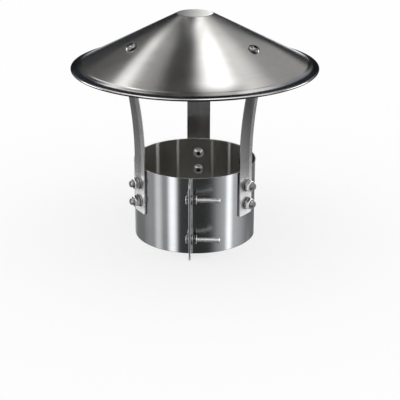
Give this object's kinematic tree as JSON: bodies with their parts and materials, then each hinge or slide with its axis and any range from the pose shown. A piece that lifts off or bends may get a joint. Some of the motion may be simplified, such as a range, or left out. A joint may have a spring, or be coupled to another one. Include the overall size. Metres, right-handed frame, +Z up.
{
  "type": "chimney rain cap",
  "caption": "Conical rain hood on bowed straps over a round clamp band that bolts onto a chimney flue.",
  "frame": {"origin": "centre of the clamp band's lower rim, on the flue's axis", "axes": "+Z up along the flue's axis to the hood's crown, -Y towards the clamp's two ears"},
  "size_m": [0.3, 0.3, 0.2793],
  "materials": {
    "hood_steel": "polished stainless sheet with fine radial brushing",
    "band_steel": "polished stainless sheet with fine brushing round it",
    "strap_steel": "satin stainless strap, brushed along its length",
    "screw_steel": "bright stainless fastener, turned",
    "washer_steel": "bright stainless washer",
    "nut_steel": "bright stainless nut"
  },
  "bodies": {
    "cap": {"hood": "hood_steel", "clamp_band": "band_steel", "left_leg": "strap_steel", "right_leg": "strap_steel", "rear_leg": "strap_steel", "left_leg_upper_screw": "screw_steel", "left_leg_upper_washer": "washer_steel", "left_leg_upper_nut": "nut_steel", "left_leg_lower_screw": "screw_steel", "left_leg_lower_washer": "washer_steel", "left_leg_lower_nut": "nut_steel", "right_leg_upper_screw": "screw_steel", "right_leg_upper_washer": "washer_steel", "right_leg_upper_nut": "nut_steel", "right_leg_lower_screw": "screw_steel", "right_leg_lower_washer": "washer_steel", "right_leg_lower_nut": "nut_steel", "rear_leg_upper_screw": "screw_steel", "rear_leg_upper_washer": "washer_steel", "rear_leg_upper_nut": "nut_steel", "rear_leg_lower_screw": "screw_steel", "rear_leg_lower_washer": "washer_steel", "rear_leg_lower_nut": "nut_steel", "left_hood_screw": "screw_steel", "left_hood_washer": "washer_steel", "left_hood_nut": "nut_steel", "right_hood_screw": "screw_steel", "right_hood_washer": "washer_steel", "right_hood_nut": "nut_steel", "rear_hood_screw": "screw_steel", "rear_hood_washer": "washer_steel", "rear_hood_nut": "nut_steel", "upper_clamp_bolt": "screw_steel", "lower_clamp_bolt": "screw_steel"},
    "upper_washer": {"upper_clamp_washer": "washer_steel"},
    "upper_nut": {"upper_clamp_nut": "nut_steel"},
    "lower_washer": {"lower_clamp_washer": "washer_steel"},
    "lower_nut": {"lower_clamp_nut": "nut_steel"}
  },
  "joints": [
    {"name": "upper_nut_travel", "type": "slide", "parent": "cap", "child": "upper_washer", "axis": [1, 0, 0], "range_m": [0, 0.026]},
    {"name": "upper_nut_turn", "type": "hinge", "parent": "upper_washer", "child": "upper_nut", "pos_m": [0, -0.0867, 0.0741], "axis": [1, 0, 0], "range_deg": [0, 9360]},
    {"name": "lower_nut_travel", "type": "slide", "parent": "cap", "child": "lower_washer", "axis": [1, 0, 0], "range_m": [0, 0.026]},
    {"name": "lower_nut_turn", "type": "hinge", "parent": "lower_washer", "child": "lower_nut", "pos_m": [0, -0.0867, 0.0232], "axis": [1, 0, 0], "range_deg": [0, 9360]}
  ],
  "couplings": [
    {"joint": "upper_nut_turn", "follows": "upper_nut_travel", "rad_per_m": 6283.2},
    {"joint": "lower_nut_turn", "follows": "lower_nut_travel", "rad_per_m": 6283.2}
  ]
}
